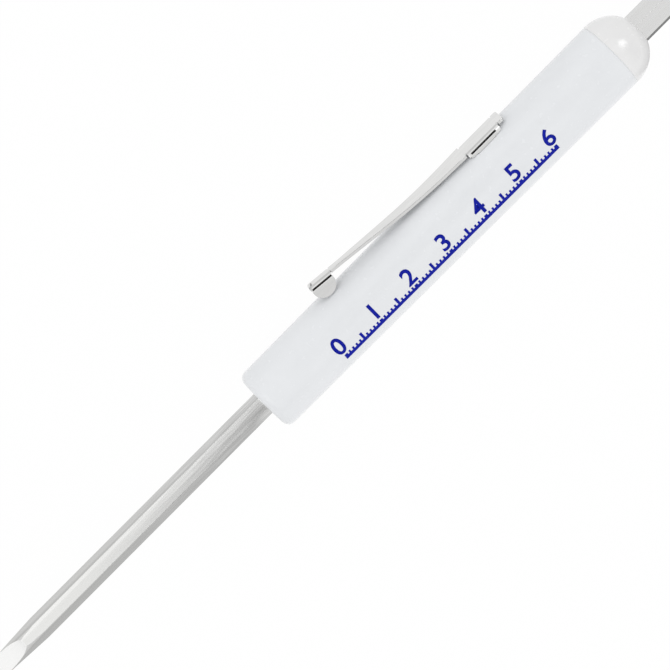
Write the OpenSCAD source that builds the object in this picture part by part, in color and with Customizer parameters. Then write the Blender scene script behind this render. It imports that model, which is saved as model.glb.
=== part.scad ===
// Pocket screwdriver: a hexagonal blade in a tapered barrel, a hexagonal bit in a
// domed end cap and a stamped spring clip.
// The tool lies along X with the end of its slotted tip at the origin, the clip
// on its +Y side and +Z up.

/* [Barrel] */
// Length of the barrel, from its foot to the seam under the end cap
barrel_len = 100.5; // [90:0.5:130]
// Diameter of the barrel at its foot
barrel_foot_d = 14.5; // [14:0.1:15.6]
// Diameter of the barrel at the seam
barrel_top_d = 15.6; // [15:0.1:17]
// Thickness of the barrel's wall
barrel_wall = 1.7; // [1.4:0.1:2]
// Thickness of the closed foot
foot_wall = 4; // [2.5:0.1:6]
// Round on the outer edge of the foot
foot_edge_r = 1.8; // [0.6:0.1:2.4]
// Diameter of the blade sleeve inside the barrel
sleeve_d = 7.8; // [7.4:0.1:8.4]
// Thickness of the sleeve's closed end, which stops the blade
sleeve_end = 2.4; // [1.5:0.1:4]
// Thickness of the ribs between the sleeve and the wall
rib_t = 1.2; // [0.8:0.1:1.4]
// Bevel on the edges that meet at the seam
seam_bevel = 0.15; // [0.05:0.05:0.3]

/* [Blade] */
// Distance across the flats of the hexagonal blade
blade_af = 4.76; // [4.5:0.01:5]
// Length of the blade outside the barrel
blade_out = 80; // [60:1:110]
// Length of the blade inside the barrel
blade_in = 42; // [36:1:48]
// Width of the slotted tip
tip_w = 4.3; // [3.6:0.1:4.6]
// Thickness of the slotted tip
tip_t = 0.9; // [0.6:0.05:1.2]
// Length of the tip that has straight sides
tip_straight = 4; // [2:0.5:6]
// Length of the turned taper behind the straight sides
tip_taper = 11.7; // [9:0.1:14]
// Length of the hollow grind, from the end of the tip
grind_len = 10.9; // [8:0.1:12]
// Length of the parallel faces at the end of the tip
grind_flat = 1; // [0.5:0.1:2]
// Turn of the slotted tip about the blade, from the clip's side
tip_turn = 60; // [0:60:300]
// Diameter of the turned cross point at the inner end
blade_point_d = 4.4; // [4:0.1:4.6]
// Length of the turned cross point at the inner end
blade_point_len = 8; // [7:0.1:10]
// Clearance on each side of the blade in its sleeve
blade_fit = 0.05; // [0.03:0.01:0.1]

/* [Blade spring] */
// Length of the bowed leaf that grips the blade
spring_len = 18; // [16:0.5:20]
// Width of the leaf
spring_w = 1.8; // [1.4:0.1:2]
// Thickness of the leaf
spring_t = 0.35; // [0.25:0.05:0.4]
// Distance from the foot to the middle of the leaf
spring_from_foot = 20; // [16:0.5:24]
// Clearance round the leaf
spring_fit = 0.05; // [0.03:0.01:0.1]

/* [End cap] */
// Height of the straight rim under the dome
cap_rim = 0.4; // [0.3:0.05:1]
// Length of the spigot that is pressed into the barrel
spigot_len = 9; // [8:0.5:11]
// Thickness of the barrel's wall round the spigot
seat_wall = 1.6; // [1.4:0.1:1.8]
// Thickness of the spigot's wall
spigot_wall = 1.5; // [1.2:0.1:1.8]
// Thickness of the floor under the magnet
magnet_floor = 1.6; // [1.2:0.1:2]
// Clearance round the spigot
spigot_fit = 0.04; // [0.02:0.01:0.08]
// Diameter of the bit magnet
magnet_d = 5; // [4:0.1:5.2]
// Thickness of the bit magnet
magnet_t = 3; // [2:0.1:3.5]
// Clearance round the magnet
magnet_fit = 0.05; // [0.03:0.01:0.1]

/* [Top bit] */
// Distance across the flats of the bit's hexagon
bit_af = 6.35; // [6:0.01:6.6]
// Overall length of the bit
bit_len = 25; // [23:0.1:30]
// Length of the bit's hexagon
bit_hex_len = 16.4; // [14:0.1:18]
// Depth of the bit's seat below the dome's crown
bit_depth = 8.4; // [7.5:0.1:9]
// Diameter of the bit's turned cross point
bit_point_d = 6; // [5.6:0.1:6]
// Bevel on the bit's seated end
bit_bevel = 0.5; // [0.3:0.1:0.8]
// Turn of the bit and its socket about the tool, from a corner on the -Z side
bit_turn = 24; // [0:1:60]
// Clearance on each side of the bit in the cap
bit_fit = 0.05; // [0.03:0.01:0.1]

/* [Pocket clip] */
// Length of the clip
clip_len = 52.3; // [50:0.1:58]
// Distance from the barrel's foot to the clip's tip
clip_from_foot = 23.2; // [18:0.1:28]
// Thickness of the clip's sheet
clip_t = 0.7; // [0.5:0.05:0.8]
// Outer radius of the folds along the wings and the ears
clip_fold_r = 1.2; // [1:0.05:1.3]
// Width of the plate where its wings start
clip_root_w = 5; // [4.6:0.1:5.6]
// Width of the clip over its wings
clip_wing_w = 5.7; // [5.4:0.1:6.2]
// Width of the tab past the wings
clip_tab_w = 4.2; // [3.4:0.1:4.6]
// Width of the clip at its neck
clip_neck_w = 1.7; // [1.5:0.1:2.4]
// Length of the neck that has straight sides
clip_neck_len = 3; // [1:0.5:5]
// Width of the clip over its ears
clip_tip_w = 3.3; // [2.9:0.1:3.8]
// Height of the root's outer face above the barrel
clip_stand = 1.05; // [0.95:0.05:1.2]
// Angle of the arm to the barrel's axis, in degrees
arm_tilt = 6.2; // [5:0.1:7]
// Length of the clip that stays still, from its root end
clip_base_len = 15.5; // [14.5:0.5:18]
// Radius of the half-round ears
ear_r = 2.8; // [2.5:0.1:3]
// Clearance between the ears and the barrel
ear_gap = 0.1; // [0.08:0.01:0.2]
// Length of the wings that stand on the barrel
wing_len = 9.3; // [8:0.1:10.5]
// Length of the tab past the wings
wing_setback = 1.5; // [0.8:0.1:2]
// Length of the tangs in the barrel's slots
tang_len = 5; // [4:0.1:6]
// Length of the tangs inside the barrel's wall
tang_hook = 0.7; // [0.5:0.05:0.9]
// Reach of the barbs past each end of a tang
tang_barb = 0.35; // [0.2:0.05:0.5]
// Clearance of the clip in and on the barrel
clip_fit = 0.08; // [0.05:0.01:0.12]

/* [Hidden] */
$fn = 96;
// Overrun of every cut past the face that it opens
overrun = 1;

// Places along the tool
foot_x = blade_out;
seam_x = foot_x + barrel_len;
crown_x = seam_x + cap_rim + barrel_top_d / 2;
bit_seat_x = crown_x - bit_depth;
spring_x = foot_x + spring_from_foot;
clip_tip_x = foot_x + clip_from_foot;
clip_root_x = clip_tip_x + clip_len;
clip_bend_x = clip_root_x - clip_base_len;
wing_end_x = clip_root_x - wing_setback;
wing_x = wing_end_x - wing_len;
neck_x = clip_tip_x + 2 * ear_r * cos(arm_tilt) + clip_neck_len;

// Radii of the barrel at a place along the tool
function barrel_r(x) = barrel_foot_d / 2 + (barrel_top_d - barrel_foot_d) / 2
    * (x - foot_x - foot_edge_r) / (barrel_len - foot_edge_r);
function cavity_r(x) = barrel_r(x) - barrel_wall;
function corner_r(af) = af / sqrt(3);
// Height above the axis of a round surface of radius r, at a distance off its middle
function side_height(r, off) = sqrt(r * r - off * off);

// Blade and bit
blade_len = blade_out + blade_in;
blade_r = corner_r(blade_af);
grind_depth = (blade_af - tip_t) / 2;
grind_run = grind_len - grind_flat;
wheel_r = (grind_run * grind_run + grind_depth * grind_depth) / (2 * grind_depth);
sleeve_len = blade_in + sleeve_end;
rib_count = 6;
bit_r = corner_r(bit_af);

// Cross points: shares of the point's own diameter and length
point_nose_share = 0.38;
point_web_share = 0.18;
point_cone_share = 0.75;
point_flute_share = 0.98;

// Blade spring: a circular bow from the blade's flat to the barrel's wall
spring_near = blade_af / 2 + spring_fit;
spring_far = side_height(cavity_r(spring_x - spring_len / 2), spring_w / 2) - spring_fit;
spring_sag = spring_far - spring_t - spring_near;
spring_bow_r = (spring_len * spring_len / 4 + spring_sag * spring_sag) / (2 * spring_sag);
spring_half_angle = asin(spring_len / 2 / spring_bow_r);
window_half = sqrt(pow(spring_bow_r, 2) - pow(spring_bow_r + spring_near - sleeve_d / 2, 2)) + spring_t;

// End cap
spigot_r = barrel_top_d / 2 - seat_wall - spigot_fit;
magnet_x = bit_seat_x - magnet_fit - magnet_t;
cap_core_x = seam_x - spigot_len;
cap_core_len = magnet_x - magnet_floor - cap_core_x;

// Pocket clip: heights are above the axis, and the arm is bowed over a share of its length
clip_h = barrel_r(clip_root_x) + clip_stand;
arm_len = clip_bend_x - clip_tip_x;
arm_bow_share = 0.44;
arm_bow = arm_len * arm_bow_share;
arm_bow_r = arm_bow / sin(arm_tilt);
arm_straight = (arm_len - arm_bow) / cos(arm_tilt);
clip_tip_h = clip_h + arm_bow * tan(arm_tilt / 2) + (arm_len - arm_bow) * tan(arm_tilt);
ear_low = side_height(barrel_r(neck_x), clip_tip_w / 2 - clip_t) + ear_gap;
ear_depth = ear_r + (clip_tip_h - ear_low - ear_r - ear_r * sin(arm_tilt)) / cos(arm_tilt);
wing_low = side_height(barrel_r(wing_x), clip_wing_w / 2) + clip_fit;
wing_corner_share = 0.5;
wing_corner_r = (clip_h - wing_low) * wing_corner_share;
tang_x = wing_x + (wing_len - tang_len) / 2;
tang_top = side_height(cavity_r(tang_x), clip_wing_w / 2) - clip_fit;
tab_corner_share = 0.16;
tab_corner_r = clip_tab_w * tab_corner_share;
function clip_w(x) = clip_neck_w + (clip_root_w - clip_neck_w) * (x - neck_x) / (wing_x - neck_x);

// Stands a shape that is drawn along Z on the tool's axis, starting at x
module on_axis(x) {
    translate([x, 0, 0]) rotate([0, 90, 0]) children();
}

// Carries a section that is drawn in Y and Z along X
module run_along(x, len) {
    translate([x, 0, 0]) rotate([90, 0, 90]) linear_extrude(len) children();
}

// Carries a side view that is drawn in X and Y across the tool
module run_across(width) {
    translate([0, 0, -width / 2]) linear_extrude(width) children();
}

// Carries a plan view that is drawn in X and Z outwards from the axis
module run_out(height, depth) {
    translate([0, height, 0]) rotate([-90, 0, 0]) linear_extrude(depth) children();
}

// Hexagonal bar along Z with corners along X
module hex_bar(af, len) {
    cylinder(r = corner_r(af), h = len, $fn = 6);
}

// Solid outer form of the barrel, grown by a clearance, along Z from the foot
module barrel_form(grow = 0) {
    r_foot = barrel_foot_d / 2 + grow;
    r_top = barrel_top_d / 2 + grow;
    rotate_extrude() {
        polygon([[0, 0], [r_foot - foot_edge_r, 0], [r_foot - foot_edge_r, foot_edge_r],
                 [r_foot, foot_edge_r], [r_top, barrel_len - seam_bevel],
                 [r_top - seam_bevel, barrel_len], [0, barrel_len]]);
        intersection() {
            translate([r_foot - foot_edge_r, foot_edge_r]) circle(r = foot_edge_r);
            translate([r_foot - foot_edge_r, 0]) square(foot_edge_r);
        }
    }
}

// Hollow of the barrel, less the blade's sleeve and its ribs
module barrel_hollow() {
    difference() {
        translate([0, 0, foot_wall])
            cylinder(r1 = cavity_r(foot_x + foot_wall), r2 = cavity_r(seam_x),
                     h = barrel_len - foot_wall);
        cylinder(r = sleeve_d / 2, h = sleeve_len);
        for (i = [0 : rib_count - 1])
            rotate(i * 360 / rib_count)
                translate([0, -rib_t / 2, 0]) cube([barrel_top_d, rib_t, sleeve_len]);
    }
}

module barrel() {
    color("whitesmoke") difference() {
        on_axis(foot_x) difference() {
            barrel_form();
            barrel_hollow();
            translate([0, 0, -overrun]) hex_bar(blade_af + 2 * blade_fit, blade_in + blade_fit + overrun);
            translate([0, 0, barrel_len - spigot_len - spigot_fit])
                cylinder(r = spigot_r + spigot_fit, h = spigot_len + spigot_fit + overrun);
        }
        spring_window();
        for (side = [-1, 1]) clip_slot(side);
    }
}

// Window in the sleeve, through which the leaf reaches the blade
module spring_window() {
    width = spring_w + 2 * spring_fit;
    translate([spring_x - window_half, -sleeve_d / 2 - spring_fit, -width / 2])
        cube([2 * window_half, sleeve_d / 2 + spring_fit, width]);
}

// Slot in the barrel's wall for one tang of the clip
module clip_slot(side) {
    width = clip_t + 2 * clip_fit;
    middle = side * (clip_wing_w - clip_t) / 2;
    translate([tang_x - clip_fit, 0, middle - width / 2])
        cube([tang_len + 2 * clip_fit, clip_h, width]);
}

module end_cap() {
    color("white") difference() {
        on_axis(seam_x) rotate_extrude() {
            polygon([[0, -spigot_len], [spigot_r - seam_bevel, -spigot_len],
                     [spigot_r, seam_bevel - spigot_len], [spigot_r, 0],
                     [barrel_top_d / 2 - seam_bevel, 0], [barrel_top_d / 2, seam_bevel],
                     [barrel_top_d / 2, cap_rim], [0, cap_rim]]);
            translate([0, cap_rim]) intersection() {
                circle(r = barrel_top_d / 2);
                square(barrel_top_d);
            }
        }
        on_axis(bit_seat_x) rotate(bit_turn) hex_bar(bit_af + 2 * bit_fit, bit_depth + overrun);
        on_axis(magnet_x - magnet_fit)
            cylinder(d = magnet_d + 2 * magnet_fit, h = magnet_t + 2 * magnet_fit + overrun);
        on_axis(cap_core_x - overrun) cylinder(r = spigot_r - spigot_wall, h = cap_core_len + overrun);
    }
}

module bit_magnet() {
    color("dimgray") on_axis(magnet_x) cylinder(d = magnet_d, h = magnet_t);
}

// Four grooves of a cross point whose nose is at z = 0, pointing up
module cross_grooves(d, len) {
    corner = d * point_web_share / sqrt(2);
    run = len * point_flute_share;
    tilt = atan((d / 2 - corner) / run);
    for (turn = [45 : 90 : 315])
        rotate(turn) translate([d / 2, 0, -run]) rotate([0, -tilt, 0])
            translate([0, 0, -overrun]) linear_extrude(2 * run + overrun) rotate(-45) square(2 * d);
}

// Turned outline of a cross point, as points from its nose at z back to a bar of radius r
function cross_outline(d, len, z, r) = [
    [r, z - len - r + d / 2],
    [d / 2, z - len],
    [d / 2, z - len * point_cone_share],
    [d / 2 * point_nose_share, z],
    [0, z]];

module top_bit() {
    bevel_r = bit_r + overrun;
    point_len = bit_len - bit_hex_len - bit_r + bit_point_d / 2;
    color("silver") on_axis(bit_seat_x) difference() {
        intersection() {
            rotate(bit_turn) hex_bar(bit_af, bit_len);
            rotate_extrude() polygon(concat(
                [[0, 0], [bit_af / 2 - bit_bevel, 0], [bevel_r, bevel_r - bit_af / 2 + bit_bevel]],
                cross_outline(bit_point_d, point_len, bit_len, bevel_r)));
        }
        translate([0, 0, bit_len]) cross_grooves(bit_point_d, bit_len - bit_hex_len);
    }
}

module blade() {
    slope = (blade_r - tip_w / 2) / tip_taper;
    taper_r = blade_r + slope * tip_taper;
    color("silver") on_axis(0) difference() {
        intersection() {
            hex_bar(blade_af, blade_len);
            rotate_extrude() polygon(concat(
                [[0, 0], [tip_w / 2, 0], [tip_w / 2, tip_straight],
                 [taper_r, tip_straight + 2 * tip_taper]],
                cross_outline(blade_point_d, blade_point_len, blade_len, taper_r)));
        }
        rotate(tip_turn) for (side = [0, 180]) rotate(side) tip_grind();
        translate([0, 0, blade_len]) cross_grooves(blade_point_d, blade_point_len);
    }
}

// Metal that the wheel takes off one broad face of the slotted tip
module tip_grind() {
    translate([0, tip_t / 2 + wheel_r, grind_flat])
        rotate([0, 90, 0]) cylinder(r = wheel_r, h = 2 * blade_af, center = true, $fn = 180);
    translate([-blade_af, tip_t / 2, -overrun]) cube([2 * blade_af, blade_af, grind_flat + overrun]);
}

module blade_spring() {
    color("gainsboro") translate([spring_x, -spring_near - spring_bow_r, 0])
        rotate(90 - spring_half_angle) rotate_extrude(angle = 2 * spring_half_angle, $fn = 180)
            translate([spring_bow_r - spring_t, -spring_w / 2]) square([spring_t, spring_w]);
}

// Section of the clip where its two edges are folded down, in Y and Z below its outer face
module folded_section(width, depth) {
    translate([-clip_t, clip_fold_r - width / 2]) square([clip_t, width - 2 * clip_fold_r]);
    for (side = [0, 1]) mirror([0, side]) {
        translate([-clip_fold_r, width / 2 - clip_fold_r]) intersection() {
            difference() {
                circle(r = clip_fold_r);
                circle(r = clip_fold_r - clip_t);
            }
            square(clip_fold_r);
        }
        translate([-depth, width / 2 - clip_t]) square([depth - clip_fold_r, clip_t]);
    }
}

// Side view of a wing with its lower corners rounded
module wing_side() {
    translate([wing_x, wing_low + wing_corner_r]) square([wing_len, clip_h]);
    translate([wing_x + wing_corner_r, wing_low]) square([wing_len - 2 * wing_corner_r, wing_corner_r]);
    for (x = [wing_x + wing_corner_r, wing_end_x - wing_corner_r])
        translate([x, wing_low + wing_corner_r]) circle(r = wing_corner_r);
}

// Side view of a tang with a barb at each lower corner
module tang_side() {
    translate([tang_x, tang_top - tang_hook])
        square([tang_len, clip_h - clip_fold_r - tang_top + tang_hook]);
    polygon([[tang_x - tang_barb, tang_top], [tang_x + tang_len + tang_barb, tang_top],
             [tang_x + tang_len, tang_top - tang_hook], [tang_x, tang_top - tang_hook]]);
}

// Plan view of the tab with its far corners rounded
module tab_plan() {
    translate([wing_end_x, -clip_tab_w / 2]) square([wing_setback - tab_corner_r, clip_tab_w]);
    translate([wing_end_x, tab_corner_r - clip_tab_w / 2])
        square([wing_setback, clip_tab_w - 2 * tab_corner_r]);
    for (side = [-1, 1])
        translate([clip_root_x - tab_corner_r, side * (clip_tab_w / 2 - tab_corner_r)])
            circle(r = tab_corner_r);
}

module clip_base() {
    flat = clip_wing_w - 2 * clip_fold_r;
    color("lightgray") {
        run_out(clip_h - clip_t, clip_t) {
            polygon([for (x = [clip_bend_x, wing_x]) [x, clip_w(x) / 2],
                     for (x = [wing_x, clip_bend_x]) [x, -clip_w(x) / 2]]);
            translate([clip_bend_x, -flat / 2]) square([clip_base_len - tab_corner_r, flat]);
            tab_plan();
        }
        difference() {
            intersection() {
                run_along(wing_x, wing_len) translate([clip_h, 0]) folded_section(clip_wing_w, clip_h);
                run_across(clip_wing_w + overrun) wing_side();
            }
            on_axis(foot_x) barrel_form(clip_fit);
        }
        for (side = [-1, 1])
            translate([0, 0, side * (clip_wing_w - clip_t) / 2]) run_across(clip_t) tang_side();
    }
}

// Puts a shape on the tilted arm, with its outer face at y = 0 and the end of its bow at x = 0
module on_arm() {
    translate([clip_bend_x - arm_bow, clip_h + arm_bow * tan(arm_tilt / 2), 0])
        rotate(-arm_tilt) children();
}

// Side view of the arm from the middle of its ears to its root: a straight strip and a bow
module arm_side() {
    translate([ear_r - arm_straight, -clip_t]) square([arm_straight - ear_r, clip_t]);
    translate([0, arm_bow_r]) intersection() {
        difference() {
            circle(r = arm_bow_r + clip_t, $fn = 720);
            circle(r = arm_bow_r, $fn = 720);
        }
        polygon([[0, 0], [0, -2 * arm_bow_r],
                 [2 * arm_bow_r * sin(arm_tilt), -2 * arm_bow_r * cos(arm_tilt)]]);
    }
}

// Plan view of the arm: a tongue between the ears, a straight neck and a widening strip
module arm_plan() {
    neck_start = 2 * ear_r - arm_straight;
    half = [[ear_r - arm_straight, clip_tip_w / 2 - clip_fold_r],
            [neck_start, clip_tip_w / 2 - clip_fold_r],
            [neck_start, clip_neck_w / 2],
            [neck_start + clip_neck_len, clip_neck_w / 2],
            [arm_bow + clip_t, clip_w(clip_bend_x + clip_t) / 2]];
    last = len(half) - 1;
    polygon([for (i = [0 : last]) half[i], for (i = [last : -1 : 0]) [half[i].x, -half[i].y]]);
}

// Side view of an ear, with the plate above it
module ear_side() {
    translate([ear_r, ear_r - ear_depth]) circle(r = ear_r);
    translate([0, ear_r - ear_depth]) square([2 * ear_r, ear_depth]);
}

module clip_arm() {
    color("lightgray") on_arm() {
        intersection() {
            run_across(clip_root_w + overrun) arm_side();
            run_out(-clip_tip_h, 2 * clip_tip_h) arm_plan();
        }
        translate([-arm_straight, 0, 0]) intersection() {
            run_along(0, 2 * ear_r) folded_section(clip_tip_w, clip_tip_h);
            run_across(clip_tip_w + overrun) ear_side();
        }
    }
}

barrel();
end_cap();
bit_magnet();
top_bit();
blade();
blade_spring();
clip_base();
clip_arm();
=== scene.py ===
# %% [markdown]
# # A pocket screwdriver in white plastic and bright steel
# The tool is a tapered white tube with a hexagonal blade in its foot, a hexagonal bit
# in its domed cap and a stamped clip on its side. The CAD model gives the exact places
# of all these pieces, in metres, with the tool along X, the clip towards +Y and +Z up.
# Everything below is built around it, so the first step is to load that model.

# %% Load the CAD model
import math

import bmesh
import bpy
from mathutils import Matrix, Vector


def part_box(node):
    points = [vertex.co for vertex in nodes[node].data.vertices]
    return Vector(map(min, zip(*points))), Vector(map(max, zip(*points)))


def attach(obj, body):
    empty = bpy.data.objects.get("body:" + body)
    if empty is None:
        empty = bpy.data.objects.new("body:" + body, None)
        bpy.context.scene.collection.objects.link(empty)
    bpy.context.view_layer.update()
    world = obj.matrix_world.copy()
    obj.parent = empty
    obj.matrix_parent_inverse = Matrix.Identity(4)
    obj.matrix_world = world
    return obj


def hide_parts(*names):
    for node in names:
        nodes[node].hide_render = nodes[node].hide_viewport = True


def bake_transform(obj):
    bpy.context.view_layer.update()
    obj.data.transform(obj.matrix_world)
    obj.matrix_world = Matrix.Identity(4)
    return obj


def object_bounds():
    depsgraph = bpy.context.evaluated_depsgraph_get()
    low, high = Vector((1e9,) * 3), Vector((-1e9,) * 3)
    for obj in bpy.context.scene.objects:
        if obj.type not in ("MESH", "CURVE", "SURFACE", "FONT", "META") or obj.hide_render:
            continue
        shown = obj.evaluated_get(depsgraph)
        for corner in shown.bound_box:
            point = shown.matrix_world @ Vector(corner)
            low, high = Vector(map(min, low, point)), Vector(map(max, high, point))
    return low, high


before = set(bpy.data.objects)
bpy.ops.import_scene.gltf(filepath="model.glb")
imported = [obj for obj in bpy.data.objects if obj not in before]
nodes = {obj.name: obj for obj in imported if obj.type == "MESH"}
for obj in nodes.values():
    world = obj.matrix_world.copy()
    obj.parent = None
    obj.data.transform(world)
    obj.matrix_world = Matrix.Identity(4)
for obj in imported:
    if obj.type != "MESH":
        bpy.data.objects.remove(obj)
cad_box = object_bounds()
MM = 0.001
print("CAD nodes:", ", ".join(sorted(nodes)))
print("CAD size in mm:", [round((high - low) / MM, 1) for low, high in zip(*cad_box)])

# %% [markdown]
# ## Camera
# The photograph looks square at the tool's axis, from a little over a sixth of a turn
# round from the clip, and the tool runs across the picture at 45 degrees. A long lens from far
# away keeps its two ends nearly the same size. The camera is turned by a matrix of its
# right, up and backward directions, because that says the slope of the tool in plain numbers.

# %% Camera at the photograph's angle
IMAGE_PX = 670
MM_PER_PX = 0.2046
VIEW_TURN = math.radians(61.0)
TOOL_SLOPE = math.radians(45.08)
CAMERA_DISTANCE = 784 * MM
AIM_X = 100.18 * MM
AIM_ASIDE = 0.538 * MM

along = Vector((1, 0, 0))
towards_camera = Vector((0, math.cos(VIEW_TURN), math.sin(VIEW_TURN)))
across = towards_camera.cross(along)
right = math.cos(TOOL_SLOPE) * along - math.sin(TOOL_SLOPE) * across
up = math.sin(TOOL_SLOPE) * along + math.cos(TOOL_SLOPE) * across
aim = along * AIM_X - across * AIM_ASIDE
camera_place = aim + towards_camera * CAMERA_DISTANCE
half_view = IMAGE_PX * MM_PER_PX * MM / 2
bpy.ops.object.camera_add(location=camera_place)
camera = bpy.context.active_object
camera.name = "camera"
looking = Matrix((right, up, towards_camera)).transposed().to_4x4()
camera.matrix_world = Matrix.Translation(camera_place) @ looking
camera.data.sensor_width = 36
camera.data.lens = camera.data.sensor_width / 2 * CAMERA_DISTANCE / half_view
camera.data.clip_start = 0.01
bpy.context.scene.camera = camera
print(f"camera: {camera.data.lens:.0f} mm lens, {CAMERA_DISTANCE:.3f} m away")

# %% [markdown]
# ## White surroundings
# The tool was photographed on pure white. A surface that is only lit never quite gets there,
# so floor and room glow white, but only for rays from the camera, from reflections and
# through glass. The Light Path node tells the rays apart, so the glow adds no light to the
# tool's matt surfaces.

# %% Rays that see the glow


def seen_directly(tree):
    """Gives 1 for rays from the camera, reflections and glass, and 0 for the light on matt surfaces."""
    rays = tree.nodes.new("ShaderNodeLightPath")
    either = tree.nodes.new("ShaderNodeMath")
    either.operation = "MAXIMUM"
    any_of_three = tree.nodes.new("ShaderNodeMath")
    any_of_three.operation = "MAXIMUM"
    tree.links.new(rays.outputs["Is Camera Ray"], either.inputs[0])
    tree.links.new(rays.outputs["Is Glossy Ray"], either.inputs[1])
    tree.links.new(either.outputs[0], any_of_three.inputs[0])
    tree.links.new(rays.outputs["Is Transmission Ray"], any_of_three.inputs[1])
    return any_of_three.outputs[0]


print("ray switch ready")

# %% [markdown]
# The floor's material mixes a plain pale paint, which takes the shadow, with that glow.

# %% White floor
FLOOR_SIZE = 8
FLOOR_PALE = 0.93
FLOOR_GLOW_SHARE = 0.98

bpy.ops.object.select_all(action="DESELECT")
bpy.ops.mesh.primitive_plane_add(size=FLOOR_SIZE, location=(AIM_X, 0, cad_box[0].z))
floor = bpy.context.active_object
floor.name = "floor"

floor_paint = bpy.data.materials.new("floor_paint")
floor_paint.use_nodes = True
tree = floor_paint.node_tree
tree.nodes.clear()
paint = tree.nodes.new("ShaderNodeBsdfDiffuse")
paint.inputs["Color"].default_value = (FLOOR_PALE, FLOOR_PALE, FLOOR_PALE, 1)
glow = tree.nodes.new("ShaderNodeEmission")
glow_share = tree.nodes.new("ShaderNodeMath")
glow_share.operation = "MULTIPLY"
glow_share.inputs[1].default_value = FLOOR_GLOW_SHARE
tree.links.new(seen_directly(tree), glow_share.inputs[0])
floor_mix = tree.nodes.new("ShaderNodeMixShader")
tree.links.new(glow_share.outputs[0], floor_mix.inputs["Fac"])
tree.links.new(paint.outputs[0], floor_mix.inputs[1])
tree.links.new(glow.outputs[0], floor_mix.inputs[2])
surface = tree.nodes.new("ShaderNodeOutputMaterial")
tree.links.new(floor_mix.outputs[0], surface.inputs["Surface"])
floor.data.materials.append(floor_paint)
print(f"floor at z = {cad_box[0].z / MM:.2f} mm")

# %% [markdown]
# The room around gives the light itself, more of it from the sides than from above. Seen
# directly it is plain white.

# %% White room
WALL_LIGHT = 1.1
CEILING_LIGHT = 0.72
WHITE = (1, 1, 1, 1)

world = bpy.data.worlds.new("white_room")
bpy.context.scene.world = world
world.use_nodes = True
tree = world.node_tree
direction = tree.nodes.new("ShaderNodeSeparateXYZ")
tree.links.new(tree.nodes.new("ShaderNodeTexCoord").outputs["Generated"], direction.inputs[0])
height = tree.nodes.new("ShaderNodeMapRange")
height.inputs["To Min"].default_value = WALL_LIGHT
height.inputs["To Max"].default_value = CEILING_LIGHT
tree.links.new(direction.outputs["Z"], height.inputs["Value"])
room_level = tree.nodes.new("ShaderNodeMapRange")
room_level.inputs["To Max"].default_value = 1
tree.links.new(seen_directly(tree), room_level.inputs["Value"])
tree.links.new(height.outputs[0], room_level.inputs["To Min"])
tree.nodes["Background"].inputs["Color"].default_value = WHITE
tree.links.new(room_level.outputs[0], tree.nodes["Background"].inputs["Strength"])
bpy.context.scene.view_settings.view_transform = "Standard"
print(f"room light from {CEILING_LIGHT} above to {WALL_LIGHT} aside")

# %% [markdown]
# ## Lamp
# The bright room leaves almost no shadow. One large, weak lamp near the camera adds a little
# direction. Reflections do not see it, so it leaves no bright square on the metal.

# %% Lamp near the camera
LAMP_SIZE = 0.9
LAMP_WATTS = 2
LAMP_DISTANCE = 1.2
LAMP_ASIDE = 0.4

lamp_side = (towards_camera - LAMP_ASIDE * across).normalized()
bpy.ops.object.light_add(type="AREA", location=aim + lamp_side * LAMP_DISTANCE)
lamp = bpy.context.active_object
lamp.name = "soft_box"
lamp.data.size = LAMP_SIZE
lamp.data.energy = LAMP_WATTS
lamp.visible_glossy = False
lamp.rotation_euler = lamp_side.to_track_quat("Z", "Y").to_euler()
print(f"lamp: {LAMP_WATTS} W, {LAMP_DISTANCE} m away")

# %% [markdown]
# ## Cards for the reflections
# Bright metal shows what stands around it, so cards stand there as in a studio. Only
# reflections see them, so they neither light the matt surfaces nor get into any picture.

# %% A card and a row of cards


def card(name, middle, long_side, tall_side, brightness):
    """Stands up a card that only reflections see. Its sides are vectors of its full size."""
    bpy.ops.object.select_all(action="DESELECT")
    bpy.ops.mesh.primitive_plane_add(size=1)
    sheet = bpy.context.active_object
    sheet.name = name
    sides = Matrix((long_side, tall_side, long_side.cross(tall_side))).transposed().to_4x4()
    sheet.matrix_world = Matrix.Translation(middle) @ sides
    cover = bpy.data.materials.new(name)
    cover.use_nodes = True
    cover.node_tree.nodes.clear()
    shine = cover.node_tree.nodes.new("ShaderNodeEmission")
    shine.inputs["Strength"].default_value = brightness
    surface = cover.node_tree.nodes.new("ShaderNodeOutputMaterial")
    cover.node_tree.links.new(shine.outputs[0], surface.inputs["Surface"])
    sheet.data.materials.append(cover)
    sheet.visible_camera = False
    sheet.visible_diffuse = False
    sheet.visible_shadow = False
    sheet.visible_transmission = False


def row_of_cards(start, tall_way, cards):
    """Stands up cards beside each other along the tool."""
    for name, x_middle, x_long, tall, brightness in cards:
        card(name, start + along * x_middle, along * x_long, tall_way * tall, brightness)


print("card helpers ready")

# %% [markdown]
# A dark card beside the camera makes the thin black lines along the folds of the clip.
# Bright ones on both sides of it light up the blade's broad face and the bit, and a small one
# leaves the soft spot on the dome. All these sizes are in metres.

# %% Cards near the camera
CARD_DISTANCE = 0.78
SPOT_LEAN = math.radians(40)
SPOT_X = 0.183
SPOT_DISTANCE = 0.5
SPOT_SIZE = 0.17
SPOT_BRIGHT = 7

row_of_cards(towards_camera * CARD_DISTANCE, across, (
    ("dark_card", 0.175, 0.17, 0.6, 0.02),
    ("bright_card", -0.55, 1.1, 0.56, 1.5),
    ("bit_card", 0.36, 0.19, 0.4, 1.6)))
spot_side = math.cos(SPOT_LEAN) * towards_camera + math.sin(SPOT_LEAN) * along
spot_across = math.cos(SPOT_LEAN) * along - math.sin(SPOT_LEAN) * towards_camera
card("spot_card", along * SPOT_X + spot_side * SPOT_DISTANCE,
     spot_across * SPOT_SIZE, across * SPOT_SIZE, SPOT_BRIGHT)
print("four cards near the camera")
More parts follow.
